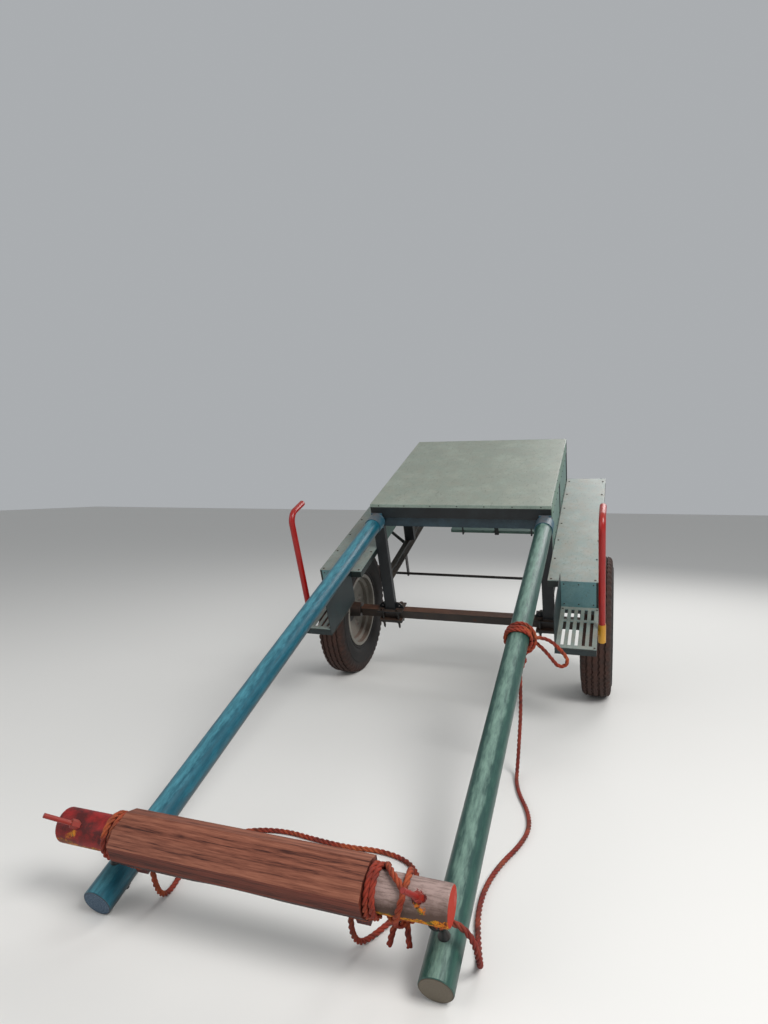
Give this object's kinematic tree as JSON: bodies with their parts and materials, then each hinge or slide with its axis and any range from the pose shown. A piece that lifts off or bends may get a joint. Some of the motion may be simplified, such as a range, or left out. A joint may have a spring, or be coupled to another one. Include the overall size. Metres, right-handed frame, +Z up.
{
  "type": "bullock cart",
  "caption": "Passenger cart for one draught animal: bench body with footboards and side steps on pneumatic tyres, round timber shafts and a roped yoke, parked on its shaft tips.",
  "frame": {"origin": "centre of the base of the rigid cart's bounding box, on the ground", "axes": "+X forward, towards the yoke; +Y to the cart's left; +Z up. The cart is parked nose down."},
  "size_m": [4.4002, 1.8992, 1.7131],
  "materials": {
    "tyre_rubber": "matte",
    "rim_paint": "satin",
    "hub_steel": "satin",
    "post_paint": "satin",
    "frame_paint": "satin",
    "beam_paint": "satin",
    "deck_paint": "worn",
    "step_paint": "worn",
    "panel_paint": "worn",
    "rail_paint": "gloss",
    "socket_paint": "satin",
    "socket_teal": "satin",
    "clamp_steel": "worn",
    "block_wood": "worn",
    "axle_paint": "worn",
    "seat_paint": "worn",
    "plank_wood": "worn",
    "shaft_wood": "worn paint",
    "yoke_wood": "worn paint",
    "key_wood": "worn",
    "pin_paint": "worn",
    "stay_iron": "satin",
    "rope_fibre": "matte"
  },
  "bodies": {
    "cart": {"front_post_left": "post_paint", "front_post_right": "post_paint", "rear_posts_left": "post_paint", "rear_posts_right": "post_paint", "lower_rail_left": "frame_paint", "lower_rail_right": "frame_paint", "side_beam_left": "beam_paint", "side_beam_right": "beam_paint", "footboard_frame_left": "frame_paint", "footboard_frame_right": "frame_paint", "footboard_deck_left": "deck_paint", "footboard_deck_right": "deck_paint", "step_frame_left": "step_paint", "step_frame_right": "step_paint", "step_tread_left": "deck_paint", "step_tread_right": "deck_paint", "grab_rail_left": "rail_paint", "grab_rail_right": "rail_paint", "shaft_left": "shaft_wood", "shaft_right": "shaft_wood", "axle_clamps": "clamp_steel", "kick_panels": "panel_paint", "step_risers": "panel_paint", "grab_rail_sockets": "socket_paint", "shaft_sockets": "socket_teal", "brake_hangers": "clamp_steel", "brake_blocks": "block_wood", "axle": "axle_paint", "front_beam": "beam_paint", "rear_beam": "beam_paint", "bench_joists": "frame_paint", "front_apron": "panel_paint", "seat_deck": "seat_paint", "rear_step_hangers": "frame_paint", "rear_step_plank": "plank_wood", "brake_beam": "clamp_steel", "yoke_beam": "yoke_wood", "yoke_keys": "key_wood", "yoke_pins": "pin_paint", "yoke_stays": "stay_iron", "yoke_lashings": "rope_fibre", "shaft_lashing": "rope_fibre", "neck_rope": "rope_fibre", "lead_rope": "rope_fibre", "hitch_loop": "rope_fibre", "hitch_tail": "rope_fibre"},
    "wheel_left": {"tyre_left": "tyre_rubber", "rim_left": "rim_paint", "hub_left": "hub_steel"},
    "wheel_right": {"tyre_right": "tyre_rubber", "rim_right": "rim_paint", "hub_right": "hub_steel"}
  },
  "joints": [
    {"name": "wheel_left_spin", "type": "hinge", "parent": "cart", "child": "wheel_left", "pos_m": [-0.80064, 0.857, 0.45], "axis": [0, 1, 0], "continuous": true},
    {"name": "wheel_right_spin", "type": "hinge", "parent": "cart", "child": "wheel_right", "pos_m": [-0.80064, -0.857, 0.45], "axis": [0, 1, 0], "continuous": true}
  ]
}
